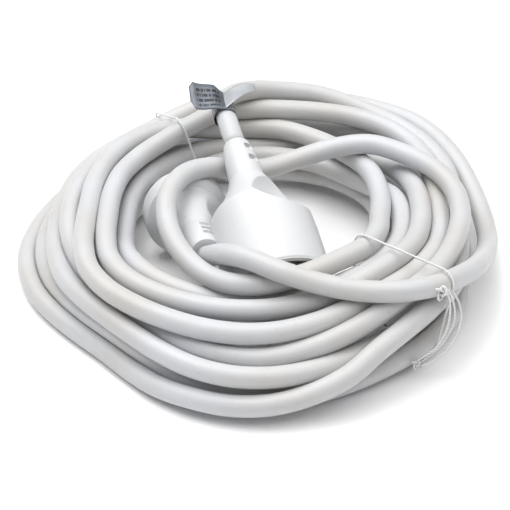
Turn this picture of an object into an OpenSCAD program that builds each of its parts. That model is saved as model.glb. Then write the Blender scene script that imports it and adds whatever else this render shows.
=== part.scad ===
// Coiled extension lead: a moulded earthed plug, a moulded coupler socket and the cord between them.
// Millimetres, +Z up. The origin is on the floor under the middle of the coil.

/* [Cord] */
// Outer diameter of the sheathed cord
cord_d = 9; // [8.6:0.1:9.2]
// Diameter of one insulated core
core_d = 3; // [2.6:0.1:3.2]

/* [Coil] */
// Outer radius of the coil
coil_r = 103; // [100:1:108]
// Radius of the opening in the coil
coil_hole_r = 57; // [56:1:58]
// Height of the coil
coil_h = 34; // [33:1:35]
// Thickness of the string that ties the coil
tie_d = 1.2; // [0.8:0.1:1.6]

/* [Socket] */
// Outside diameter of the socket at its face
socket_d = 44.4; // [44.2:0.1:46]
// Length of the socket from its face to the end of the strain relief
socket_len = 79; // [78:1:80]
// Diameter of the recess that takes a plug
recess_d = 39.5; // [39:0.1:39.8]
// Depth of the recess
recess_depth = 17.5; // [17:0.1:18]

/* [Plug] */
// Diameter of the plug's face
plug_d = 37; // [36:0.5:38]
// Length of the plug from its face to the end of the strain relief
plug_len = 50; // [49:0.5:52]
// Diameter of a pin
pin_d = 4.8; // [4.7:0.1:4.8]
// Length of a pin in front of the face
pin_len = 19; // [18.5:0.1:19.5]
// Distance between the two pins
pin_gap = 19; // [19:0.1:19.2]

/* [Hidden] */
$fn = 48;
tube_sides = 12;
eps = 0.5;
pvc = "whitesmoke";
nickel = "silver";

// Where the socket's face and the plug's face are, and how their axes are turned.
socket_face = [11, -48, 21.4];
socket_yaw = 15;
socket_tilt = 18;
plug_face = [-31.5, 15.5, 18.6];
plug_yaw = 13;
plug_tilt = 12;

// Socket stations along its axis, measured from the face.
bell_len = 40;
shoulder_len = 16;
neck_r = 7.6;
grip_turn = 50;
relief_start = bell_len + shoulder_len + 3;
insert_floor = 3;
insert_r = recess_d / 2 + 1.1;
insert_len = recess_depth + insert_floor;
cap_r = 16.5;
cap_len = 13;
cores_start = insert_len + cap_len;
socket_tail = cores_start + 12;
contact_r = 3.3;
contact_bore_r = pin_d / 2 + 0.05;
insert_hole_r = pin_d / 2 + 0.35;
crimp_len = 3;
contact_depth = 11;
clip_w = 5;
clip_t = 1;
clip_x = recess_d / 2 - 1.6;
clip_start = 5;
crimp_room_r = 12.6;
core_ring_r = 2.4;

// Plug stations along its axis, measured from the face towards the cord.
plug_rim = 11;
plug_relief_start = 32;
bridge_r = 14.5;
bridge_t = 4;
pin_root = 9;
pin_root_r = pin_d / 2 - 0.5;
plug_tail = 22;
strip_w = 4;
strip_t = 1;
sleeve_r = 3.2;
sleeve_hole_r = 2.45;
sleeve_x = 9.5;
relief_end_r = 5.8;

// The cord's own routes, as points on its centre line: from the socket onto the coil, from the
// plug over the front of the coil to the right-hand tie, and the inmost loop over the plug.
socket_axis = axis_of(socket_yaw, socket_tilt);
plug_axis = axis_of(180 + plug_yaw, plug_tilt);
socket_end = socket_face + socket_len * socket_axis;
plug_end = plug_face + plug_len * plug_axis;
socket_lead = [socket_end, socket_end + 7 * socket_axis, [-15, 42, 50], [-18, 53, 50],
               [-15, 66, 47], [-5, 77, 43], [10, 86, 38], [28, 90, 36]];
plug_lead = [plug_end, plug_end + 6 * plug_axis, [-11, -48, 40], [-1, -59, 45], [12, -67, 44],
             [24, -70, 41], [40, -74, 39], [58, -73, 38], [72, -66, 37]];
inner_loop = [[60, -20, 34], [50, -33, 38], [34, -46, 38], [18, -56, 38], [4, -59, 36],
              [-10, -54, 33], [-23, -46, 32], [-33, -36, 35], [-39, -24, 39], [-40, -11, 42],
              [-35, 1, 42], [-26, 11, 38], [-14, 20, 32], [1, 29, 29], [19, 38, 33],
              [38, 42, 38], [52, 42, 39], [66, 35, 38]];
ring_step = 20;

// Unit direction of an axis that starts along +Y, is turned by yaw about +Z and rises by tilt.
function axis_of(yaw, tilt) = [-sin(yaw) * cos(tilt), cos(yaw) * cos(tilt), sin(tilt)];

// Catmull-Rom point between p[i] and p[i + 1].
function knot(p, i) = p[max(0, min(len(p) - 1, i))];
function curve(p, i, t) =
    let (a = knot(p, i - 1), b = knot(p, i), c = knot(p, i + 1), d = knot(p, i + 2))
    0.5 * (2 * b + (c - a) * t + (2 * a - 5 * b + 4 * c - d) * t * t
           + (3 * b - a - 3 * c + d) * t * t * t);
function unit(v) = v / norm(v);
// Rings between two points, so that they are about ring_step apart.
function steps(p, i) = max(1, round(norm(p[i + 1] - p[i]) / ring_step));
function line_of(p) = concat(
    [for (i = [0 : len(p) - 2]) for (k = [0 : steps(p, i) - 1]) curve(p, i, k / steps(p, i))],
    [p[len(p) - 1]]);
function heading(line, i) =
    unit(line[min(len(line) - 1, i + 1)] - line[max(0, i - 1)]);

// A round tube along a list of points, of the cord's radius if none is given.
module tube(points, r = cord_d / 2) {
    line = line_of(points);
    n = len(line);
    verts = [for (i = [0 : n - 1])
        let (t = heading(line, i), side = unit(cross([0, 0, 1], t)), top = cross(t, side))
        for (k = [0 : tube_sides - 1])
            line[i] + r * (cos(360 * k / tube_sides) * side + sin(360 * k / tube_sides) * top)];
    walls = [for (i = [0 : n - 2]) for (k = [0 : tube_sides - 1])
        let (a = i * tube_sides, b = a + tube_sides, m = (k + 1) % tube_sides)
        [a + k, b + k, b + m, a + m]];
    first = [for (k = [0 : tube_sides - 1]) k];
    last = [for (k = [tube_sides - 1 : -1 : 0]) (n - 1) * tube_sides + k];
    polyhedron(verts, concat([first], walls, [last]));
}

// A straight round bar from point a to point b.
module bar(a, b, r) {
    v = b - a;
    translate(a) rotate([0, acos(v.z / norm(v)), atan2(v.y, v.x)])
        cylinder(r = r, h = norm(v));
}

module at_socket() {
    translate(socket_face) rotate([0, 90 - socket_tilt, 90 + socket_yaw]) children();
}

module at_plug() {
    translate(plug_face) rotate([0, 90 - plug_tilt, 270 + plug_yaw]) children();
}

// ---- Coil ----

function arc(centre, r, from, to) =
    [for (k = [0 : 5]) centre + r * [cos(from + (to - from) * k / 5), sin(from + (to - from) * k / 5)]];

// Half section of the coil, in by shrink all round.
module coil_section(shrink = 0) {
    polygon(concat(
        arc([coil_hole_r + 5, 5], 5 - shrink, 185, 270),
        arc([coil_r - 9, 9], 9 - shrink, 270, 370),
        arc([coil_r - 15, coil_h - 14], 14 - shrink, 20, 90),
        arc([coil_hole_r + 15, coil_h - 10], 10 - shrink, 90, 165)));
}

// The string's band round the coil, at an angle about the coil's axis, out by proud.
module tie_band(angle, proud = 0) {
    width = tie_d + 2 * max(0, proud);
    rotate([90, 0, angle]) translate([0, 0, -width / 2]) linear_extrude(width) difference() {
        coil_section(-proud);
        coil_section(tie_d);
    }
}

// The groove is wider and deeper than the string, and the string is sunk in it a little.
band_sunk = 0.05;
groove_slack = 0.1;

tie_left_angle = 120;
tie_right_angle = -42;

module cord_coil() {
    color(pvc) difference() {
        rotate_extrude($fn = 96) coil_section();
        tie_band(tie_left_angle, groove_slack);
        tie_band(tie_right_angle, groove_slack);
    }
}

module cord_inner_loop() { color(pvc) tube(inner_loop); }
module cord_socket_lead() { color(pvc) tube(socket_lead); }
module cord_plug_lead() { color(pvc) tube(plug_lead); }
module tie_left() { color("gainsboro") tie_band(tie_left_angle, -band_sunk); }
module tie_right() { color("gainsboro") tie_band(tie_right_angle, -band_sunk); }

knot_place = [76, -66, 40];
tail_points = [[77, -68, 36], [79, -72, 28], [76, -76, 20], [70, -79, 12]];

// The right-hand tie's knot and its two hanging ends.
module tie_right_tails() {
    knot_r = 2.4;
    color("gainsboro") {
        translate(knot_place) sphere(r = knot_r);
        for (shift = [0, 3]) translate([0, -shift, 0]) tube(tail_points, tie_d / 2);
    }
}

label_size = [30, 14, 0.6];
label_place = [-20, 51, 54.6];

// A foil flag wrapped on the cord, with its free end standing off to the back.
module label_flag() {
    color("slategray") translate(label_place) rotate([16, 0, 10]) translate(-label_size / 2)
        cube(label_size);
}

// ---- Socket ----

module socket_outline() {
    rim_r = socket_d / 2;
    bell_r = rim_r - 2;
    polygon(concat(
        [[0, 0], [rim_r - 0.6, 0], [rim_r, 0.8], [rim_r - 0.4, insert_len + 3]],
        arc([bell_r - 7, bell_len], 7, 0, 60),
        [[neck_r + 2.6, bell_len + 13], [neck_r + 0.6, bell_len + shoulder_len],
         [neck_r, relief_start], [0, relief_start]]));
}

module socket_body() {
    grip_r = 14.5;
    grip_side = 25;
    color(pvc) at_socket() difference() {
        rotate_extrude($fn = 96) socket_outline();
        translate([0, 0, -eps]) cylinder(r = insert_r, h = insert_len + eps);
        cylinder(r = cap_r, h = cores_start);
        cylinder(r = crimp_room_r, h = cores_start + crimp_len + 1);
        cylinder(r = cord_d / 2, h = socket_len);
        hull() {
            translate([0, 0, cores_start]) cylinder(r = crimp_room_r, h = 0.1);
            translate([0, 0, socket_tail]) cylinder(r = cord_d / 2, h = 0.1);
        }
        rotate(-grip_turn) for (side = [-1, 1])
            translate([0, side * grip_side, bell_len + 6]) sphere(r = grip_r);
    }
}

// A ring of bend slots on both sides of a strain relief.
module bend_slots(start, count, pitch) {
    for (i = [0 : count - 1], side = [-1, 1])
        translate([0, side * 6.2, start + i * pitch]) cube([8, 2.6, 2], center = true);
}

module socket_strain_relief() {
    color(pvc) at_socket() difference() {
        translate([0, 0, relief_start])
            cylinder(r1 = neck_r, r2 = relief_end_r, h = socket_len - relief_start);
        cylinder(r = cord_d / 2, h = socket_len + eps);
        rotate(-grip_turn) bend_slots(relief_start + 7.5, 2, 7);
    }
}

module pin_pair(r, from, to) {
    for (side = [-1, 1])
        translate([0, side * pin_gap / 2, from]) cylinder(r = r, h = to - from);
}

module clip_slots(from, to) {
    for (side = [-1, 1])
        translate([side * clip_x, 0, (from + to) / 2])
            cube([clip_t + 0.6, clip_w + 0.6, to - from], center = true);
}

module socket_insert() {
    color("white") at_socket() difference() {
        cylinder(r = insert_r, h = insert_len, $fn = 96);
        translate([0, 0, -eps]) cylinder(r = recess_d / 2, h = recess_depth + eps, $fn = 96);
        pin_pair(insert_hole_r, 0, insert_len + eps);
        clip_slots(recess_depth - 1, insert_len + eps);
    }
}

module earth_bar(from, slack) {
    translate([0, 0, from + clip_t / 2])
        cube([2 * clip_x + clip_t + slack, clip_w + slack, clip_t + slack], center = true);
}

module socket_insert_cap() {
    color("white") at_socket() difference() {
        translate([0, 0, insert_len + clip_t + 0.2]) cylinder(r = cap_r, h = cap_len - clip_t - 0.2);
        pin_pair(contact_r + 0.1, insert_len, cores_start + eps);
        translate([0, 0, insert_len]) cylinder(r = 2.4, h = cap_len + eps);
    }
}

module socket_contact(side) {
    color("goldenrod") at_socket() translate([0, side * pin_gap / 2, insert_len]) difference() {
        union() {
            cylinder(r = contact_r, h = cap_len - 1);
            cylinder(r = 2.2, h = cap_len + crimp_len);
        }
        translate([0, 0, -eps]) cylinder(r = contact_bore_r, h = contact_depth + eps);
    }
}

module socket_contact_live() { socket_contact(-1); }
module socket_contact_neutral() { socket_contact(1); }

// One strip bent to a U: a clip stands in each side of the recess and the bar joins them behind.
module socket_earth_bracket() {
    color(nickel) at_socket() {
        difference() {
            earth_bar(insert_len + 0.1, 0);
            pin_pair(contact_r + 0.2, insert_len, insert_len + 3);
        }
        for (side = [-1, 1]) {
            translate([side * clip_x - clip_t / 2, -clip_w / 2, clip_start])
                cube([clip_t, clip_w, insert_len + 0.1 + clip_t - clip_start]);
            translate([side * (clip_x - 0.6), clip_w / 2, 7]) rotate([90, 0, 0])
                cylinder(r = 0.9, h = clip_w);
        }
        translate([0, 0, insert_len + 0.5]) cylinder(r = 2.2, h = cap_len + crimp_len - 0.5);
    }
}

// The three cores fan out from the sheath's end to the contacts.
core_side = [-1, 1, 0];
function core_root(i, station) =
    [i == 2 ? -core_ring_r : 0, core_ring_r * core_side[i], station];
function core_tip(i, station) = [0, pin_gap / 2 * core_side[i], station];

module core(i, tip, root) { bar(core_tip(i, tip), core_root(i, root), core_d / 2); }

module socket_core(i) { at_socket() core(i, cores_start + crimp_len, socket_tail); }
module socket_core_live() { color("saddlebrown") socket_core(0); }
module socket_core_neutral() { color("royalblue") socket_core(1); }
module socket_core_earth() { color("yellowgreen") socket_core(2); }

module socket_cord_end() {
    color(pvc) at_socket() translate([0, 0, socket_tail])
        cylinder(r = cord_d / 2, h = socket_len - socket_tail);
}

// ---- Plug ----

module plug_outline() {
    rim_r = plug_d / 2;
    polygon(concat(
        [[0, 0], [rim_r - 0.8, 0], [rim_r, 0.8]],
        arc([rim_r - 2, plug_rim - 2], 2, 0, 80),
        [[13.5, plug_rim + 1.5], [12, plug_rim + 8], [8.4, plug_relief_start - 2],
         [7.4, plug_relief_start], [0, plug_relief_start]]));
}

module plug_body() {
    hollow_r = 4.2;
    color(pvc) at_plug() difference() {
        rotate_extrude($fn = 96) plug_outline();
        translate([0, 0, -eps]) cylinder(r = bridge_r, h = bridge_t + eps);
        cylinder(r = 12.4, h = plug_rim + 2);
        translate([0, 0, plug_rim + 1]) cylinder(r1 = 11, r2 = cord_d / 2, h = plug_tail - plug_rim - 1);
        cylinder(r = cord_d / 2, h = plug_len);
        for (side = [-1, 1]) {
            translate([side * (plug_d / 2 - strip_t / 2), 0, 4.5])
                cube([strip_t + 1, strip_w + 0.4, 10], center = true);
            translate([0, side * 15, plug_rim + 9]) rotate([0, 90, 0])
                cylinder(r = hollow_r + 3, h = 40, center = true);
        }
    }
}

module plug_strain_relief() {
    color(pvc) at_plug() difference() {
        translate([0, 0, plug_relief_start])
            cylinder(r1 = 7.4, r2 = relief_end_r, h = plug_len - plug_relief_start);
        cylinder(r = cord_d / 2, h = plug_len + eps);
        bend_slots(plug_relief_start + 3.5, 3, 4);
    }
}

module plug_pin_bridge() {
    color("white") at_plug() difference() {
        cylinder(r = bridge_r, h = bridge_t);
        pin_pair(pin_root_r, -eps, bridge_t + eps);
        translate([sleeve_x, 0, -eps]) cylinder(r = sleeve_r, h = bridge_t + 2 * eps);
    }
}

module plug_pin(side) {
    color(nickel) at_plug() translate([0, side * pin_gap / 2, -pin_len]) {
        tip = pin_d / 2;
        translate([0, 0, tip]) cylinder(r = pin_d / 2, h = pin_len - tip);
        translate([0, 0, pin_len]) cylinder(r = pin_root_r, h = pin_root);
        intersection() {
            translate([0, 0, tip]) sphere(r = tip);
            cylinder(r = tip, h = tip);
        }
    }
}

module plug_pin_live() { plug_pin(-1); }
module plug_pin_neutral() { plug_pin(1); }

module plug_earth_sleeve() {
    color(nickel) at_plug() translate([sleeve_x, 0, 0]) difference() {
        cylinder(r = sleeve_r, h = bridge_t);
        translate([0, 0, -eps]) cylinder(r = sleeve_hole_r, h = bridge_t + 2 * eps);
    }
}

// One strip: a contact on each side of the rim, joined by a bar behind the bridge.
module plug_earth_strip() {
    reach = plug_d / 2;
    color(nickel) at_plug() {
        for (side = [-1, 1])
            translate([side * (reach - strip_t / 2), 0, 4.5])
                cube([strip_t, strip_w, 8], center = true);
        translate([0, 0, bridge_t + 1])
            cube([2 * reach - 2 * strip_t, strip_w, strip_t], center = true);
    }
}

module plug_core(i) { at_plug() core(i, i == 2 ? bridge_t + 2 : pin_root + 0.1, plug_tail); }
module plug_core_live() { color("saddlebrown") plug_core(0); }
module plug_core_neutral() { color("royalblue") plug_core(1); }
module plug_core_earth() { color("yellowgreen") plug_core(2); }

module plug_cord_end() {
    color(pvc) at_plug() translate([0, 0, plug_tail])
        cylinder(r = cord_d / 2, h = plug_len - plug_tail);
}

cord_coil();
cord_inner_loop();
cord_socket_lead();
cord_plug_lead();
tie_left();
tie_right();
tie_right_tails();
label_flag();
socket_body();
socket_strain_relief();
socket_insert();
socket_insert_cap();
socket_contact_live();
socket_contact_neutral();
socket_earth_bracket();
socket_core_live();
socket_core_neutral();
socket_core_earth();
socket_cord_end();
plug_body();
plug_strain_relief();
plug_pin_bridge();
plug_pin_live();
plug_pin_neutral();
plug_earth_strip();
plug_earth_sleeve();
plug_core_live();
plug_core_neutral();
plug_core_earth();
plug_cord_end();
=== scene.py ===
"""An extension lead tied in a coil: a moulded socket, a moulded earthed plug and the cord between."""
import math
import bpy
import numpy as np
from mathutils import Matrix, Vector


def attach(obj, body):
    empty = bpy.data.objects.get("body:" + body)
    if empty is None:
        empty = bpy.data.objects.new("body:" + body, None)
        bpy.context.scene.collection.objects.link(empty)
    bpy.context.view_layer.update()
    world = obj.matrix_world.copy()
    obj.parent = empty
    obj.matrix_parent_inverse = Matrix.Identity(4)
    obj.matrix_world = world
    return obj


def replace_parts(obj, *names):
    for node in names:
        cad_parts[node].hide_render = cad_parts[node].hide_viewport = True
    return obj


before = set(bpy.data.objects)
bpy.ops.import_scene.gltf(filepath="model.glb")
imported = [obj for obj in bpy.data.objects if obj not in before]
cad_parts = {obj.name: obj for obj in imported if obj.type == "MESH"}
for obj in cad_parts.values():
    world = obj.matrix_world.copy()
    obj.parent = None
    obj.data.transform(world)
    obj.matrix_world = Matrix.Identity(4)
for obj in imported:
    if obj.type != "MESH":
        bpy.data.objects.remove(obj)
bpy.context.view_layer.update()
MM = 0.001


# ---- Camera ----

def aim(thing, place, target):
    """Puts a light or the camera at place, looking at target."""
    thing.location = place
    thing.rotation_euler = (Vector(target) - Vector(place)).to_track_quat("-Z", "Y").to_euler()


VIEW_RISE = math.radians(36)
VIEW_FAR = 0.84
VIEW_LENS = 135
LOOK_AT = (0.0, 0.0, 0.0043)
camera_data = bpy.data.cameras.new("camera")
camera_data.lens = VIEW_LENS
camera_data.sensor_width = 36
camera = bpy.data.objects.new("camera", camera_data)
bpy.context.scene.collection.objects.link(camera)
aim(camera, (0, -VIEW_FAR * math.cos(VIEW_RISE), LOOK_AT[2] + VIEW_FAR * math.sin(VIEW_RISE)), LOOK_AT)
bpy.context.scene.camera = camera


# ---- Where the cord lies, in millimetres ----

CORD = 9.0
# The line is laid in steps of STEP; points less than SKIP steps apart never count as crossing, and
# no bend is drawn to a radius under BEND.
STEP = 3.2
SKIP = 9
BEND = 40
SETTLING_ROUNDS = 250
# How strongly the line keeps its bends over 1, 4 and 8 steps.
STIFFNESS = ((1, 0.15), (4, 0.25), (8, 0.12))
# The finished path takes every fifth point of the settled line and is respaced.
PATH_SKIP, PATH_STEP = 5, 3.4


def axis_of(yaw, tilt):
    """Unit direction that starts along +Y, turned by yaw about +Z and raised by tilt."""
    y, t = np.radians([yaw, tilt])
    return np.array([-np.sin(y) * np.cos(t), np.cos(y) * np.cos(t), np.sin(t)])


SOCKET_FACE, SOCKET_AXIS = np.array([11, -48, 21.4]), axis_of(15, 18)
PLUG_FACE, PLUG_AXIS = np.array([-31.5, 15.5, 18.6]), axis_of(193, 12)
SOCKET_LEN, PLUG_LEN = 79, 50
SOCKET_END = SOCKET_FACE + SOCKET_LEN * SOCKET_AXIS
PLUG_END = PLUG_FACE + PLUG_LEN * PLUG_AXIS
# Distance along each moulding's axis from its face, and the radius there.
SOCKET_SHAPE = np.array([(0, 22.2), (10, 22.1), (25, 21.8), (38, 20.2), (44, 18), (53, 10),
                         (60, 8), (79, 6.4)], float)
PLUG_SHAPE = np.array([(-20, 2.5), (-18, 14), (-3, 14), (0, 18.5), (11, 18.5), (13, 13.5),
                       (19, 12), (30, 8.4), (50, 6.4)], float)

SOCKET_LEAD = [SOCKET_END, SOCKET_END + 7 * SOCKET_AXIS, (-14, 42, 50), (-17, 53, 50.3),
               (-15, 65, 47.8), (-7, 76.5, 43.7), (7, 85, 38.7), (25, 89.5, 34.5), (48, 84.5, 29.5)]
PLUG_LEAD = [PLUG_END, PLUG_END + 6 * PLUG_AXIS, (-11, -48, 40), (-1, -59, 45), (12, -67, 44),
             (25, -70, 41), (41, -73, 39), (58, -73, 38), (73, -66, 37), (85, -51, 32), (94, -31, 25)]
INNER_LOOP = [(50, -34, 37), (35, -48, 37), (19, -58, 36), (4, -62, 34), (-10, -59, 32),
              (-23, -50, 32), (-33, -38, 35), (-39, -25, 39), (-41, -11, 43), (-37, 2, 44),
              (-28, 13, 41), (-15, 22, 35), (1, 30, 31), (19, 37, 33),
              (37, 41, 37), (52, 40, 39), (67, 32, 38), (80, 18, 38)]
# Each turn runs clockwise through eight stations, back, back right, right, front right, front,
# front left, left and back left: the radius and the height there.
TURNS = [
    [(95, 28), (98, 26), (87, 20), (97, 30), (104, 11), (88, 5), (99, 5), (96, 7)],
    [(90, 10), (93, 14), (87, 9), (96, 11), (98, 5), (87, 14), (92, 13), (88, 14)],
    [(80, 8), (84, 8), (79, 6), (86, 8), (89, 5), (80, 5), (84, 5), (80, 5)],
    [(62, 10), (64, 12), (56, 16), (62, 20), (74, 8), (68, 8), (64, 8), (62, 14)],
    [(60, 22), (60, 22), (64, 31), (69, 37), (60, 30), (61, 30), (56, 22), (62, 24)],
    [(68, 22), (76, 24), (72, 32), (76, 36), (72, 30), (73, 31), (63, 31), (66, 30)],
    [(76, 32), (91, 30), (80, 29), (82, 36), (87, 31), (85, 32), (72, 31), (76, 33)],
    [(70, 28), (62, 29), (55, 31)],
]
LAST_TURNS = [
    [(86, 36), (86, 37), (91, 23), (80, 24), (81, 28), (82, 28)],
    [(84, 22), (92, 22), (86, 16), (92, 20), (101, 21), (87, 23), (85, 20), (90, 20)],
    [(90, 33), (101, 29), (100, 15)],
]


def around(turns, start):
    """Points of the turns on circles about the coil's axis: the angle falls by 45 degrees from
    station to station, and three points in each run ease radius and height by a half cosine."""
    r, z = np.array([s for turn in turns for s in turn], float).T
    u = np.arange(0, len(r) - 1 + 1e-6, 1 / 3)
    i = np.minimum(u.astype(int), len(r) - 2)
    ease = 0.5 - 0.5 * np.cos(np.pi * (u - i))
    a = np.radians(start - 45 * u)
    r = r[i] + (r[i + 1] - r[i]) * ease
    return np.column_stack([r * np.cos(a), r * np.sin(a), z[i] + (z[i + 1] - z[i]) * ease])


def respaced(line, step):
    """The same line with its points a step apart."""
    s = np.r_[0, np.cumsum(np.linalg.norm(np.diff(line, axis=0), axis=1))]
    u = np.linspace(0, s[-1], int(round(s[-1] / step)) + 1)
    return np.column_stack([np.interp(u, s, line[:, k]) for k in range(3)])


def smooth_line(points, step):
    """Catmull-Rom curve through the points, then respaced."""
    p = np.asarray(points, float)
    p = np.vstack([2 * p[0] - p[1], p, 2 * p[-1] - p[-2]])
    t = np.linspace(0, 1, 40, endpoint=False)[None, :, None]
    a, b, c, d = (p[k:len(p) - 3 + k, None, :] for k in range(4))
    line = 0.5 * (2 * b + (c - a) * t + (2 * a - 5 * b + 4 * c - d) * t ** 2
                  + (3 * b - a - 3 * c + d) * t ** 3)
    return respaced(np.vstack([line.reshape(-1, 3), p[-2]]), step)


def near_pairs(line, reach):
    """Pairs of points nearer than reach that are more than SKIP places apart."""
    found = []
    for start in range(0, len(line), 400):
        d = line[start:start + 400, None, :] - line[None, :, :]
        i, j = np.nonzero(np.einsum("ijk,ijk->ij", d, d) < reach * reach)
        keep = j > i + start + SKIP
        found.append(np.column_stack([i[keep] + start, j[keep]]))
    return np.vstack(found)


def kept_off(line, face, axis, shape, gap):
    """Moves points straight out from a moulding's axis until they clear its radius by gap, or
    out in front of its face where that is nearer."""
    along = (line - face) @ axis
    out = line - face - along[:, None] * axis
    far = np.linalg.norm(out, axis=1)
    short = np.interp(along, shape[:, 0], shape[:, 1]) + gap - far
    ahead = along - shape[0, 0] + gap
    inside = (ahead > 0) & (along < shape[-1, 0] - 1) & (short > 0)
    sideways = inside & (short < ahead)
    lift = np.where(sideways, short / np.maximum(far, 1e-6), 0)
    back = np.where(inside & ~sideways, ahead, 0)
    return line + out * lift[:, None] - back[:, None] * axis


def settled(line, rounds, weight=0.04, hold=0.04):
    """Lays the line down as a cord. In each round every point drops a little, is drawn a little to
    where it was laid, bends no sharper than it was laid, and is pushed a diameter away from
    other turns, out of the mouldings and off the floor, with neighbours kept a step apart."""
    n = len(line)
    loose = np.ones(n)
    loose[:4] = loose[-4:] = 0
    x = line.copy()
    for turn in range(rounds):
        soft = max(0.0, 1 - turn / (0.7 * rounds))
        x[:, 2] -= weight * loose
        x += (hold * (0.3 + soft) * loose)[:, None] * (line - x)
        for gap, stiff in STIFFNESS:
            bend = 0.5 * (x[:-2 * gap] + x[2 * gap:]) - x[gap:-gap]
            laid = 0.5 * (line[:-2 * gap] + line[2 * gap:]) - line[gap:-gap]
            sharp = np.linalg.norm(laid, axis=1) / ((gap * STEP) ** 2 / (2 * BEND))
            laid = laid / np.maximum(sharp, 1)[:, None]
            x[gap:-gap] += stiff * (bend - laid) * loose[gap:-gap, None]
        if turn % 8 == 0:
            pairs = near_pairs(x, CORD + 5)
        for _ in range(3):
            i, j = pairs.T
            d = x[j] - x[i]
            dist = np.linalg.norm(d, axis=1)
            hit = dist < CORD
            i, j, d, dist = i[hit], j[hit], d[hit], dist[hit]
            push = d / np.maximum(dist, 1e-6)[:, None] * ((CORD - dist) * 0.5)[:, None]
            both, move = np.r_[i, j], np.vstack([-push, push])
            count = np.maximum(np.bincount(both, minlength=n), 1)
            sums = np.column_stack([np.bincount(both, move[:, k], n) for k in range(3)])
            x += sums * (1.35 * loose / count)[:, None]
            x = kept_off(x, SOCKET_FACE, SOCKET_AXIS, SOCKET_SHAPE, CORD / 2 + 0.2)
            x = kept_off(x, PLUG_FACE, PLUG_AXIS, PLUG_SHAPE, CORD / 2 + 0.2)
            x[:, 2] = np.maximum(x[:, 2], CORD / 2)
            for first in (0, 1):
                a = np.arange(first, n - 1, 2)
                run = x[a + 1] - x[a]
                long = np.linalg.norm(run, axis=1)
                pull = run * (0.4 * (1 - STEP / long))[:, None]
                x[a] += pull * loose[a, None]
                x[a + 1] -= pull * loose[a + 1, None]
    return x


# The first turn starts at its second station, back right, because the socket's lead comes in there.
cord_laid = smooth_line(
    SOCKET_LEAD + list(around([TURNS[0][1:]] + TURNS[1:], 45)) + INNER_LOOP
    + list(around(LAST_TURNS, 0)) + PLUG_LEAD[::-1], STEP)
cord_line = settled(cord_laid, SETTLING_ROUNDS)


# ---- Helpers for meshes ----

# One unit of a tube's UV map along its length.
UV_LENGTH = 100


def shown(name, verts, faces, material, uv=None):
    """A new piece from corners in millimetres and a list of faces, riding on the lead's body. The
    piece's own UV map, where it has one, is called along."""
    mesh = bpy.data.meshes.new(name)
    mesh.from_pydata((verts * MM).tolist(), [], faces)
    if uv is not None:
        layer = mesh.uv_layers.new(name="along")
        corner = np.empty(len(mesh.loops), np.int32)
        mesh.loops.foreach_get("vertex_index", corner)
        layer.data.foreach_set("uv", np.asarray(uv, np.float32)[corner].ravel())
    mesh.polygons.foreach_set("use_smooth", np.full(len(mesh.polygons), True))
    mesh.materials.append(material)
    piece = bpy.data.objects.new(name, mesh)
    bpy.context.scene.collection.objects.link(piece)
    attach(piece, "root")
    return piece


def grid_faces(rows, cols, closed=True):
    """Quads of a grid of rows by cols corners: each joins a corner, the next in its row and the two
    after them in the next row. The last column joins the first when closed."""
    i, j = np.meshgrid(np.arange(rows - 1), np.arange(cols if closed else cols - 1), indexing="ij")
    a, b = i * cols + j, i * cols + (j + 1) % cols
    return np.stack([a, b, b + cols, a + cols], -1).reshape(-1, 4)


def tube(name, line, radius, sides, material, loop=False, across=(0, 0, 1)):
    """A round tube along a line: each ring is a circle in the plane across the line, and starts
    from the direction square to the line and to across, a direction that the line never takes.
    The ends are closed by flat faces, or joined in a loop."""
    line = np.asarray(line, float)
    n = len(line)
    ahead = np.roll(line, -1, 0) - np.roll(line, 1, 0)
    if not loop:
        ahead[0], ahead[-1] = line[1] - line[0], line[-1] - line[-2]
    ahead /= np.linalg.norm(ahead, axis=1)[:, None]
    side = np.cross(ahead, across)
    side /= np.maximum(np.linalg.norm(side, axis=1), 1e-9)[:, None]
    up = np.cross(side, ahead)
    t = np.linspace(0, 2 * np.pi, sides, endpoint=False)
    radius = np.broadcast_to(radius, n)[:, None, None]
    rings = line[:, None] + radius * (np.cos(t)[None, :, None] * side[:, None]
                                      + np.sin(t)[None, :, None] * up[:, None])
    along = np.r_[0, np.cumsum(np.linalg.norm(np.diff(line, axis=0), axis=1))] / UV_LENGTH
    uv = np.column_stack([np.repeat(along, sides), np.tile(t / (2 * np.pi), n)])
    faces = grid_faces(n, sides)[:, ::-1].tolist()
    first = np.arange(sides)
    last = (n - 1) * sides + first
    if loop:
        faces += np.column_stack([last, first, np.roll(first, -1), np.roll(last, -1)]).tolist()
    else:
        faces += [first.tolist(), last[::-1].tolist()]
    return shown(name, rings.reshape(-1, 3), faces, material, uv)


def turned(station, angle, radius, face, axis):
    """Points of a surface round an axis: the face's centre, plus the station along the axis, plus
    the radius times the cosine of the angle sideways and times its sine upwards."""
    side = np.cross(axis, (0, 0, 1))
    side = side / np.linalg.norm(side)
    up = np.cross(side, axis)
    return (face + station[..., None] * axis
            + (radius * np.cos(angle))[..., None] * side + (radius * np.sin(angle))[..., None] * up)


# ---- Materials ----

class Value:
    """A shader socket that takes part in arithmetic; every operation adds one Math node."""

    def __init__(self, finish, socket):
        self.finish, self.socket = finish, socket

    def _math(self, operation, *inputs):
        return self.finish.node("ShaderNodeMath", {"operation": operation}, dict(enumerate(inputs)))

    def __add__(self, other):
        return self._math("ADD", self, other)

    def __radd__(self, other):
        return self._math("ADD", other, self)

    def __sub__(self, other):
        return self._math("SUBTRACT", self, other)

    def __rsub__(self, other):
        return self._math("SUBTRACT", other, self)

    def __mul__(self, other):
        return self._math("MULTIPLY", self, other)

    def __rmul__(self, other):
        return self._math("MULTIPLY", other, self)

    def above(self, other):
        return self._math("GREATER_THAN", self, other)

    def below(self, other):
        return self._math("LESS_THAN", self, other)

    def part(self):
        return self._math("FRACT", self)

    def wave(self):
        return self._math("SINE", self)


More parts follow.
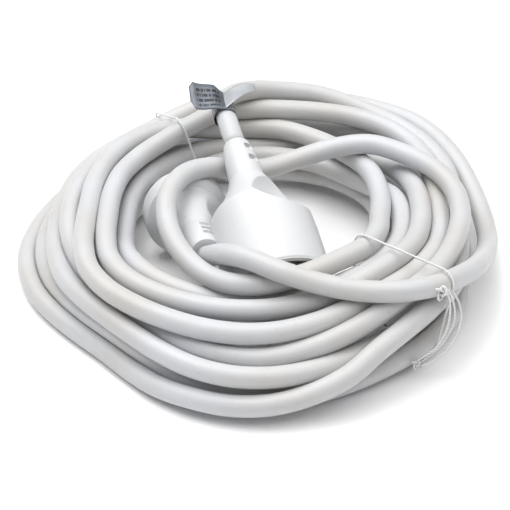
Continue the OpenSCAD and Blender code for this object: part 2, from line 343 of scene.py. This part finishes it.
class Finish:
    """A material under construction."""

    def __init__(self, name):
        self.material = bpy.data.materials.new(name)
        self.material.use_nodes = True
        self.tree = self.material.node_tree
        self.shader = self.tree.nodes["Principled BSDF"]

    def node(self, kind, settings, inputs, out=0):
        """Adds a node: its type, its settings first, then the values or links of its sockets by
        place or name. A ramp's stops are pairs of a place and a grey."""
        made = self.tree.nodes.new(kind)
        for key, value in settings.items():
            if key == "stops":
                while len(made.color_ramp.elements) < len(value):
                    made.color_ramp.elements.new(0.5)
                for element, (place, grey) in zip(made.color_ramp.elements, value):
                    element.position, element.color = place, (grey, grey, grey, 1)
            else:
                setattr(made, key, value)
        for place, value in inputs.items():
            self.feed(made.inputs[place], value)
        return Value(self, made.outputs[out])

    def feed(self, socket, value):
        """Links a Value to a socket, or puts a constant on it."""
        if isinstance(value, Value):
            self.tree.links.new(value.socket, socket)
        else:
            socket.default_value = value

    def set(self, **named):
        """Feeds the surface shader's sockets; an underscore stands for a space."""
        for key, value in named.items():
            self.feed(self.shader.inputs[key.replace("_", " ")], value)

    def mixed(self, amount, one, other):
        """Colour between one and other."""
        return self.node("ShaderNodeMix", {"data_type": "RGBA"}, {0: amount, 6: one, 7: other}, out=2)

    def place(self):
        """Object coordinates."""
        return self.node("ShaderNodeTexCoord", {}, {}, out="Object")

    def own_uv(self):
        """The two components of the piece's own UV map."""
        return self.split(self.node("ShaderNodeUVMap", {"uv_map": "along"}, {}))

    def split(self, where):
        """The first two components of a vector."""
        first = self.node("ShaderNodeSeparateXYZ", {}, {0: where})
        return first, Value(self, first.socket.node.outputs[1])

    def joined(self, first, second):
        """A vector of two components and a zero."""
        return self.node("ShaderNodeCombineXYZ", {}, {0: first, 1: second, 2: 0.0})

    def noise(self, where, scale, detail=3):
        """Cloudy noise of a scale in cells a metre."""
        return self.node("ShaderNodeTexNoise", {},
                         {"Vector": where, "Scale": scale, "Detail": detail, "Roughness": 0.5})

    def ramp(self, value, *stops):
        """Greys that run from stop to stop."""
        return self.node("ShaderNodeValToRGB", {"stops": stops}, {0: value})

    def bump(self, height, depth, strength, over=None):
        """A normal bent by a height of the depth given in metres, over another bent normal."""
        under = {} if over is None else {"Normal": over}
        return self.node("ShaderNodeBump", {},
                         {"Height": height, "Distance": depth, "Strength": strength} | under)


def rgb(r, g, b):
    """Linear colour from 0 to 255 screen shades."""
    return tuple(((v / 255 + 0.055) / 1.055) ** 2.4 for v in (r, g, b)) + (1,)


def pvc(name, clean, soiled, roughness, ripple):
    """Soft white PVC: cloudy tone, faint soiling, scattered dark specks and a slightly uneven skin.
    Gives the finish and its bent normal."""
    f = Finish(name)
    where = f.place()
    cloud = f.noise(where, 22, 4)
    tone = f.mixed(f.ramp(cloud, (0.35, 0), (0.75, 1)), clean, soiled)
    speck = f.noise(where, 620, 2)
    mark = f.ramp(speck, (0.73, 0), (0.76, 1))
    f.set(Base_Color=f.mixed(mark * 0.45, tone, rgb(132, 126, 116)))
    f.set(Roughness=f.ramp(f.noise(where, 160, 3), (0.2, roughness - 0.06), (0.8, roughness + 0.08)))
    coarse = f.bump(f.noise(where, 70, 2), ripple, 0.5)
    skin = f.bump(f.noise(where, 2600, 2), 0.00005, 0.35, coarse)
    f.set(Normal=skin, IOR=1.5, Coat_Weight=0.08, Coat_Roughness=0.25)
    return f, skin


def cord_finish():
    """The sheath's PVC with faint long draw lines and a shallow embossed type mark every 250 mm."""
    f, skin = pvc("cord_pvc", rgb(196, 198, 202), rgb(188, 185, 180), 0.44, 0.0003)
    along, around_it = f.own_uv()
    line = f.noise(f.joined(along * 0.6, around_it * 26), 3, 2)
    cell = (along * 0.4).part()
    band = cell.below(0.16) * around_it.above(0.22) * around_it.below(0.28)
    stroke = (along * 60).part().above(0.45)
    drawn = f.bump(line, 0.00012, 0.4, skin)
    f.set(Normal=f.bump(band * stroke, 0.0001, 0.5, drawn))
    return f.material


def twine_finish():
    """Thin white twine: two plies wound round each other, from a sine of length and angle, with painted
    shade darkening the grooves between the plies.
    """
    f = Finish("white_twine")
    along, around_it = f.own_uv()
    ply = ((along * 420 + around_it * 12.566).wave() + 1) * 0.5
    # Painted shade: the colour follows the plies' height and is darker in the grooves between them.
    f.set(Base_Color=f.mixed(ply, rgb(206, 206, 204), rgb(232, 233, 233)), Roughness=0.5)
    f.set(Normal=f.bump(ply, 0.0001, 0.5))
    return f.material


def metal_finish(name, colour, roughness):
    """Plated metal with fine wear: roughness and tone follow a stretched noise."""
    f = Finish(name)
    where = f.place()
    grain = f.noise(where, 900, 3)
    worn = tuple(0.72 * v for v in colour[:3]) + (1,)
    f.set(Base_Color=f.mixed(f.ramp(grain, (0.4, 0), (0.8, 1)), colour, worn))
    f.set(Metallic=1.0, Roughness=f.ramp(grain, (0.2, roughness), (0.9, roughness + 0.2)))
    f.set(Normal=f.bump(grain, 0.00002, 0.4))
    return f.material


def core_finish(name, colour, second=None):
    """A core's insulation, satin, with stripes of a second colour where it has one."""
    f = Finish(name)
    where = f.place()
    tone = f.noise(where, 300, 2)
    dark = tuple(0.8 * v for v in colour[:3]) + (1,)
    base = f.mixed(f.ramp(tone, (0.3, 0), (0.8, 1)), colour, dark)
    if second:
        sideways, _ = f.split(where)
        base = f.mixed((sideways * 420).part().above(0.5), base, second)
    f.set(Base_Color=base, Roughness=0.45, Normal=f.bump(tone, 0.00005, 0.3))
    return f.material


def label_finish():
    """Silver-grey foil label: worn tone, painted shade that makes the left leaf and the part wound round
    the cord darker than the right leaf, and rows of dark generic bars of uneven length.
    """
    f = Finish("foil_label")
    across, down = f.own_uv()
    where = f.place()
    worn = f.ramp(f.noise(where, 120, 4), (0.3, 0), (0.75, 1))
    # Painted shade: the left leaf and the wound part take darker greys than the right leaf of the same
    # foil.
    base = f.mixed(across.above(0.74), f.mixed(worn, rgb(108, 113, 120), rgb(84, 89, 96)),
                   f.mixed(worn, rgb(182, 185, 188), rgb(160, 164, 168)))
    rows = down * 5
    row = rows.part().above(0.45)
    block = f.noise(f.joined(across * 40, rows - rows.part()), 2, 0)
    printed = across.above(0.05) * across.below(0.21) * down.above(0.12) * down.below(0.9)
    ink = row * block.above(0.44) * printed
    f.set(Base_Color=f.mixed(ink, base, rgb(40, 42, 46)))
    f.set(Metallic=0.35, Roughness=f.ramp(f.noise(where, 400, 2), (0.3, 0.34), (0.8, 0.5)))
    f.set(Normal=f.bump(f.noise(where, 180, 3), 0.0003, 0.5))
    return f.material


cord_white = cord_finish()
twine = twine_finish()
foil = label_finish()
moulded_white = pvc("moulded_pvc", rgb(207, 208, 210), rgb(201, 202, 203), 0.4, 0.00015)[0].material
insert_white = pvc("insert_plastic", rgb(236, 236, 234), rgb(228, 228, 225), 0.42, 0.0001)[0].material
nickel = metal_finish("nickel_plate", rgb(198, 198, 194), 0.24)
brass = metal_finish("contact_brass", rgb(206, 178, 110), 0.3)
core_brown = core_finish("core_brown", rgb(110, 66, 38))
core_blue = core_finish("core_blue", rgb(56, 96, 176))
core_green = core_finish("core_green_yellow", rgb(84, 148, 62), rgb(224, 206, 62))

# ---- The cord ----

CORD_SIDES = 24
FLOOR_GAP = 0.03
cord_path = smooth_line(cord_line[::PATH_SKIP], PATH_STEP)
cord_path[:, 2] = np.maximum(cord_path[:, 2], CORD / 2 + FLOOR_GAP)
cord = tube("cord", cord_path, CORD / 2, CORD_SIDES, cord_white)
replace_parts(cord, "cord_coil", "cord_inner_loop", "cord_socket_lead", "cord_plug_lead")


# ---- The two ties ----

# The twine's radius, the sides of its tube, and how far a tie stands off the cord.
STRING = 0.45
STRING_SIDES = 8
TIE_SLACK = 0.3
# Direction of each tie from the coil's axis, its lean from bottom to top, and the radius inside
# which it ignores the cord.
LEFT_TIE = (118, 0.12, 60)
RIGHT_TIE = (-42, 0.06, 52)


def hull(points):
    """Corner points of the convex hull, by the monotone chain."""
    p = sorted(map(tuple, points))

    def half(seq):
        out = []
        for q in seq:
            while len(out) > 1 and ((out[-1][0] - out[-2][0]) * (q[1] - out[-2][1])
                                    - (out[-1][1] - out[-2][1]) * (q[0] - out[-2][0])) <= 0:
                out.pop()
            out.append(q)
        return out[:-1]
    return np.array(half(p) + half(p[::-1]))


def square_to(angle):
    """Level unit direction a quarter turn on from an angle in degrees."""
    return np.array([-math.sin(math.radians(angle)), math.cos(math.radians(angle)), 0])


def string_loop(angle, lean, inner):
    """A string round the bundle where a plane through the coil's axis cuts it: the hull of circles
    about the cord's crossings, a slack wider than the cord, leaning round the coil with height."""
    a = math.radians(angle)
    out, across = np.array([math.cos(a), math.sin(a)]), square_to(angle)[:2]
    off, far = cord_path[:, :2] @ across, cord_path[:, :2] @ out
    cut = (np.abs(off) < 4) & (far > inner)
    centres = np.column_stack([far[cut], cord_path[cut, 2]])
    t = np.linspace(0, 2 * np.pi, 36, endpoint=False)
    rim = CORD / 2 + STRING + TIE_SLACK
    ring = (centres[:, None] + rim * np.column_stack([np.cos(t), np.sin(t)])[None]).reshape(-1, 2)
    ring[:, 1] = np.maximum(ring[:, 1], STRING + 0.05)
    corners = hull(ring)
    around_once = np.vstack([corners, corners[:1]])
    r, z = respaced(np.column_stack([around_once, np.zeros(len(around_once))]), 2.0)[:-1, :2].T
    turn = a + lean * (z / 40 - 0.5)
    return np.column_stack([r * np.cos(turn), r * np.sin(turn), z])


def string(name, line, radius=STRING, loop=True, across=(0, 1, 0)):
    """Twine along a line."""
    return tube(name, line, radius, STRING_SIDES, twine, loop, across)


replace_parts(string("string_left", string_loop(*LEFT_TIE), across=square_to(LEFT_TIE[0])), "tie_left")
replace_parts(string("string_right", string_loop(*RIGHT_TIE), across=square_to(RIGHT_TIE[0])), "tie_right")

KNOT, KNOT_SIZE = np.array([74, -72, 38]), 1.15
END_KNOT, END_KNOT_SIZE = np.array([65, -80, 8]), 0.75
TAILS = [
    [(76, -68, 39), (79, -71, 34), (80, -74, 26), (76, -77, 17), (69, -79, 10), (65, -79, 7)],
    [(76, -68, 39), (78, -73, 32), (77, -77, 24), (73, -79, 16), (67, -80, 11), (64, -79, 8)],
    [(76, -68, 39), (81, -69, 33), (83, -71, 25), (80, -75, 16), (73, -79, 10), (67, -80, 7)],
]


def knot_line(centre, size):
    """A trefoil about the centre for a knot's crossing strands: the sine of the angle plus twice that
    of its double sideways, the cosine less twice that of its double upwards, and in depth the sine
    of three times the angle."""
    t = np.linspace(0, 2 * np.pi, 60, endpoint=False)
    x = np.sin(t) + 2 * np.sin(2 * t)
    y = np.cos(t) - 2 * np.cos(2 * t)
    return centre + size * np.column_stack([x * 0.7, -np.sin(3 * t) * 0.8, y])


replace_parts(string("string_knot", knot_line(KNOT, KNOT_SIZE), STRING * 1.1), "tie_right_tails")
string("string_end_knot", knot_line(END_KNOT, END_KNOT_SIZE))
for place, tail in enumerate(TAILS):
    string(f"string_tail_{place + 1}", smooth_line(tail, 1.5), loop=False)


# ---- The label ----

# The label's place along the cord's path, the length of each leaf and the foil's thickness.
LABEL_AT = 7
LEAF = 15
FOIL = 0.25


def label_piece():
    """A foil strip wound round the cord at its bend: in section it comes in from a left leaf, goes
    once round the cord in a slowly growing circle and runs off in a right leaf, each leaf a gentle
    wave. Its width lies along the cord and narrows towards the end of the right leaf."""
    place = cord_path[LABEL_AT]
    ahead = cord_path[LABEL_AT + 2] - cord_path[LABEL_AT - 2]
    ahead /= np.linalg.norm(ahead)
    side = np.cross(ahead, (0, 0, 1))
    side /= np.linalg.norm(side)
    up = np.cross(side, ahead)
    rim = CORD / 2 + 0.4
    t = np.linspace(0, 2 * np.pi, 48)
    wind = (rim + 0.3 * t / (2 * np.pi))[:, None] * np.column_stack([np.sin(t), np.cos(t)])
    s = np.linspace(1, 0, 24, endpoint=False)
    left = np.column_stack([-LEAF * s, rim + 2.2 * s * s + 0.5 * np.sin(6 * s)])
    s = np.linspace(0, 1, 25)[1:]
    right = np.column_stack([LEAF * s, rim + 0.35 + 2.4 * np.sin(2.6 * s) - 2.5 * s * s])
    section = np.vstack([left, wind, right])
    run = np.r_[0, np.cumsum(np.linalg.norm(np.diff(section, axis=0), axis=1))] / 64
    places = np.arange(len(section))
    half = np.interp(places, [0, 3, 22, 72, 95], [3.5, 7.0, 7.0, 6.5, 2.0])
    lean = np.interp(places, [0, 3, 24, 72, 95], [1.5, 0, 0, 0, 7.0])
    tilt = np.interp(places, [0, 18, 26, 74, 95], [0.45, 0.3, 0, 0, 0.3])
    w = np.linspace(-1, 1, 14)
    across = lean[:, None] + half[:, None] * w[None]
    sheet = (place + section[:, None, :1] * side + across[:, :, None] * ahead
             + (section[:, None, 1:] + (tilt[:, None] * (across + half[:, None]))[:, :, None]) * up)
    rows, cols = len(section), len(w)
    uv = np.column_stack([np.repeat(run, cols), np.tile(w / 2 + 0.5, rows)])
    piece = shown("foil_label", sheet.reshape(-1, 3), grid_faces(rows, cols, False).tolist(), foil,
                  uv)
    thick = piece.modifiers.new("thickness", "SOLIDIFY")
    thick.thickness, thick.offset = FOIL * MM, 0
    return piece


label = label_piece()
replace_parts(label, "label_flag")


# ---- Socket and plug mouldings ----

def eased(x, low, high):
    """0 below low, 1 above high and a smooth cubic between."""
    u = np.clip((x - low) / (high - low), 0, 1)
    return u * u * (3 - 2 * u)


def slots_cut(station, angle, starts, length, depth, turn):
    """How deep the bend slots go: each is a smooth-edged window in station and angle, both sides."""
    side = np.abs(np.cos(angle - turn))
    cut = np.zeros(station.shape)
    for start in starts:
        end = start + length
        window = eased(station, start - 0.3, start + 0.1) * (1 - eased(station, end - 0.1, end + 0.3))
        cut = np.maximum(cut, window * eased(side, 0.94, 0.965))
    return depth * cut


def moulding(name, outline, face, axis, cuts, hollow, sides):
    """A turned moulding: round its axis the radius follows the outline's stations, smoothed over
    nine places, less the cuts. At the far end the surface turns back and runs inside to the face,
    in a bore of two widths, so that it stays closed. The hollow is the depth and the radius of the
    bore at the face, and its radius behind."""
    stations, radii = np.array(outline, float).T
    fine = np.concatenate([np.arange(stations[0], stations[-1], 0.35), stations])
    fine = np.unique(np.round(fine, 3))
    r = np.interp(fine, stations, radii)
    kernel = np.hanning(9)
    padded = np.concatenate([np.full(4, r[0]), r, np.full(4, r[-1])])
    r = np.convolve(padded, kernel / kernel.sum(), "valid")
    t = np.linspace(0, 2 * np.pi, sides, endpoint=False)
    station, angle = np.meshgrid(fine, t, indexing="ij")
    radius = r[:, None] - cuts(station, angle)
    depth, bore, end_bore = hollow
    inner = np.array([(fine[-1], end_bore), (fine[0] + depth, end_bore), (fine[0] + depth, bore),
                      (fine[0], bore)])
    station = np.vstack([station, np.repeat(inner[:, :1], sides, 1)])
    radius = np.vstack([radius, np.repeat(inner[:, 1:], sides, 1)])
    angle = np.vstack([angle, np.repeat(t[None], len(inner), 0)])
    verts = turned(station, angle, radius, face, axis).reshape(-1, 3)
    first = np.arange(sides)
    last = (len(station) - 1) * sides + first
    seam = np.column_stack([last, first, np.roll(first, -1), np.roll(last, -1)])
    faces = np.vstack([grid_faces(len(station), sides)[:, ::-1], seam]).tolist()
    piece = shown(name, verts, faces, moulded_white)
    piece.data.set_sharp_from_angle(angle=math.radians(50))
    return piece


# Stations from the face and the radius at each.
SOCKET_OUTLINE = [(0, 21.6), (0.8, 22.2), (3, 22.3), (12, 22.3), (22, 22.2), (32, 21.8), (37, 21.3),
                  (39, 20.8), (40.5, 19.7), (42, 17.9), (45, 15.4), (49, 12.7), (53, 10.3), (57, 8.5),
                  (59, 7.8)]
SOCKET_RELIEF = [(59, 7.8), (64, 7.6), (70, 7.1), (75, 6.4), (78, 5.8), (79, 5.1)]
SOCKET_HOLLOW = (20.6, 20.9, CORD / 2)
PLUG_OUTLINE = [(0, 17.7), (0.8, 18.5), (9, 18.5), (10.6, 17.8), (12, 15), (13.5, 13.6), (18, 12.4),
                (24, 10.4), (29, 8.6), (32, 7.6)]
PLUG_RELIEF = [(32, 7.6), (38, 7.3), (46, 6.9), (49, 6.7), (50, 6.0)]
PLUG_HOLLOW = (4, 14.5, CORD / 2)
RELIEF_HOLLOW = (1, CORD / 2, CORD / 2)
BODY_SIDES, RELIEF_SIDES = 160, 120
# The socket's thumb hollows and slots are turned by GRIP_TURN; a ball scoops each hollow.
GRIP_TURN = math.radians(50)
BALL_R, BALL_AT, BALL_SIDE = 16, 46, 24
PLUG_SLOT_TURN = 2.0


def socket_cuts(station, angle):
    """Two thumb hollows on opposite sides of the shoulder, each scooped by a ball: the skin is cut
    back to where a line out from the axis enters the ball, the smaller root of a quadratic."""
    skin = np.interp(station, *np.array(SOCKET_OUTLINE, float).T)
    side, up = np.abs(np.cos(angle - GRIP_TURN)), 0.65 * np.sin(angle - GRIP_TURN)
    slice_2 = BALL_R ** 2 - (station - BALL_AT) ** 2
    square = side ** 2 + up ** 2
    under = (BALL_SIDE * side) ** 2 - square * (BALL_SIDE ** 2 - slice_2)
    entry = (BALL_SIDE * side - np.sqrt(np.maximum(under, 0))) / square
    return np.where((slice_2 > 0) & (under > 0), np.maximum(skin - entry, 0), 0)


def socket_slots(station, angle):
    """Two bend slots a side in the socket's strain relief."""
    return slots_cut(station, angle, (65.5, 72.5), 2.2, 2.2, GRIP_TURN)


def plug_cuts(station, angle):
    """Two finger hollows in the sides behind the rim, each a smooth bump in station and angle."""
    return 3.2 * eased(1 - np.abs(station - 20) / 7, 0, 0.9) * eased(np.abs(np.cos(angle)), 0.55, 0.95)


def plug_slots(station, angle):
    """Three bend slots a side in the plug's strain relief."""
    return slots_cut(station, angle, (34.6, 38.6, 42.6), 1.8, 2.0, PLUG_SLOT_TURN)


socket = moulding("socket_moulding", SOCKET_OUTLINE, SOCKET_FACE, SOCKET_AXIS, socket_cuts,
                  SOCKET_HOLLOW, BODY_SIDES)
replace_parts(socket, "socket_body")
socket_relief = moulding("socket_relief", SOCKET_RELIEF, SOCKET_FACE, SOCKET_AXIS, socket_slots,
                         RELIEF_HOLLOW, RELIEF_SIDES)
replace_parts(socket_relief, "socket_strain_relief")
plug = moulding("plug_moulding", PLUG_OUTLINE, PLUG_FACE, PLUG_AXIS, plug_cuts, PLUG_HOLLOW, BODY_SIDES)
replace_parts(plug, "plug_body")
plug_relief = moulding("plug_relief", PLUG_RELIEF, PLUG_FACE, PLUG_AXIS, plug_slots, RELIEF_HOLLOW,
                       RELIEF_SIDES)
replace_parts(plug_relief, "plug_strain_relief")


# ---- Finishes of the pieces that keep their CAD shape ----

finishes = {
    "socket_insert": insert_white, "socket_insert_cap": insert_white, "plug_pin_bridge": insert_white,
    "socket_contact_live": brass, "socket_contact_neutral": brass, "socket_earth_bracket": nickel,
    "plug_pin_live": nickel, "plug_pin_neutral": nickel,
    "plug_earth_strip": nickel, "plug_earth_sleeve": nickel,
    "socket_cord_end": cord_white, "plug_cord_end": cord_white,
}
for end in ("socket", "plug"):
    finishes[f"{end}_core_live"] = core_brown
    finishes[f"{end}_core_neutral"] = core_blue
    finishes[f"{end}_core_earth"] = core_green
for node_name, finish in finishes.items():
    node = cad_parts[node_name]
    node.data.materials.clear()
    node.data.materials.append(finish)

# ---- Floor and light ----

floor_finish = Finish("pale_floor")
floor_finish.set(Base_Color=floor_finish.mixed(
    floor_finish.ramp(floor_finish.noise(floor_finish.place(), 3, 2), (0.3, 0), (0.7, 1)),
    rgb(250, 250, 250), rgb(248, 248, 249)), Roughness=0.9)
floor_mesh = bpy.data.meshes.new("floor")
FLOOR = 4
floor_mesh.from_pydata(
    [(-FLOOR, -FLOOR, 0), (FLOOR, -FLOOR, 0), (FLOOR, FLOOR, 0), (-FLOOR, FLOOR, 0)], [], [(0, 1, 2, 3)])
floor_mesh.materials.append(floor_finish.material)
floor = bpy.data.objects.new("floor", floor_mesh)
bpy.context.scene.collection.objects.link(floor)


def lamp(name, place, size, power):
    """A square soft light of a size in metres and a power in watts, on the middle of the floor."""
    data = bpy.data.lights.new(name, "AREA")
    data.shape, data.size, data.energy = "SQUARE", size, power
    light = bpy.data.objects.new(name, data)
    bpy.context.scene.collection.objects.link(light)
    aim(light, place, (0, 0, 0))


lamp("key", (-0.55, 0.35, 1.25), 1.3, 16)
lamp("top", (0.3, 0.0, 1.35), 1.8, 21)
lamp("front", (-0.5, -1.2, 0.9), 0.8, 0.8)
world = bpy.data.worlds.new("studio")
world.use_nodes = True
sky = world.node_tree.nodes["Background"]
sky.inputs["Color"].default_value = (1, 1, 1, 1)
sky.inputs["Strength"].default_value = 0.32
bpy.context.scene.world = world
bpy.context.scene.view_settings.view_transform = "Standard"
